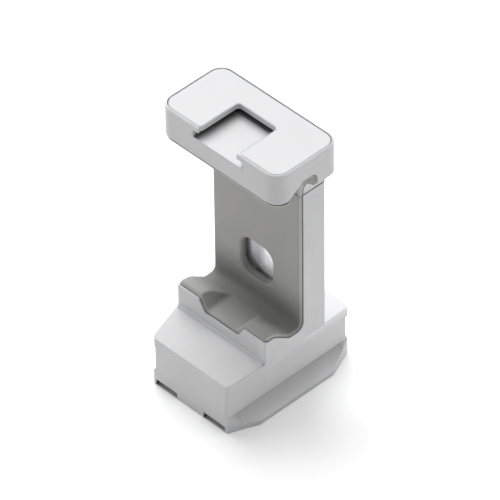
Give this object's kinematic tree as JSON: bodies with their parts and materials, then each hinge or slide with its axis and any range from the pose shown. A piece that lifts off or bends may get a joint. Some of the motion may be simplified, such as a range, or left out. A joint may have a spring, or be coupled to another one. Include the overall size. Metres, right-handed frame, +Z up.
{
  "type": "gimbal phone holder",
  "caption": "Phone holder with a fixed lower jaw on a dovetail foot, a sprung upper jaw that slides up, grey rubber linings and an accessory shoe on top.",
  "frame": {"origin": "middle of the foot's underside, at the middle of the base's length and width", "axes": "+Z up, the way the upper jaw slides; +X along the jaws; the phone's edge faces -Y"},
  "size_m": [0.0452, 0.0466, 0.0889],
  "materials": {
    "body_plastic": "fine matt",
    "grip_rubber": "matt",
    "top_metal": "satin",
    "spun_steel": "spun",
    "rod_steel": "ground",
    "spring_steel": "drawn wire",
    "bush_brass": "turned",
    "screw_steel": "zinc plated"
  },
  "bodies": {
    "root": {"base_block": "body_plastic", "base_screws": "screw_steel", "body_shell": "body_plastic", "grip_pad": "grip_rubber", "window_disc": "spun_steel", "rear_cover": "body_plastic", "cover_screws": "screw_steel", "guide_bush_right": "bush_brass", "guide_bush_left": "bush_brass", "return_spring_right": "spring_steel", "return_spring_left": "spring_steel"},
    "upper_jaw": {"jaw_block": "body_plastic", "jaw_pad": "grip_rubber", "top_plate": "top_metal", "guide_rod_right": "rod_steel", "guide_rod_left": "rod_steel", "spring_washer_right": "screw_steel", "spring_washer_left": "screw_steel", "rod_clip_right": "spring_steel", "rod_clip_left": "spring_steel"}
  },
  "joints": [
    {"name": "jaw_slide", "type": "slide", "parent": "root", "child": "upper_jaw", "axis": [0, 0, 1], "range_m": [0, 0.03], "stiffness_N_per_m": 200, "springref_m": -0.03, "deforming": ["return_spring_right", "return_spring_left"]}
  ]
}
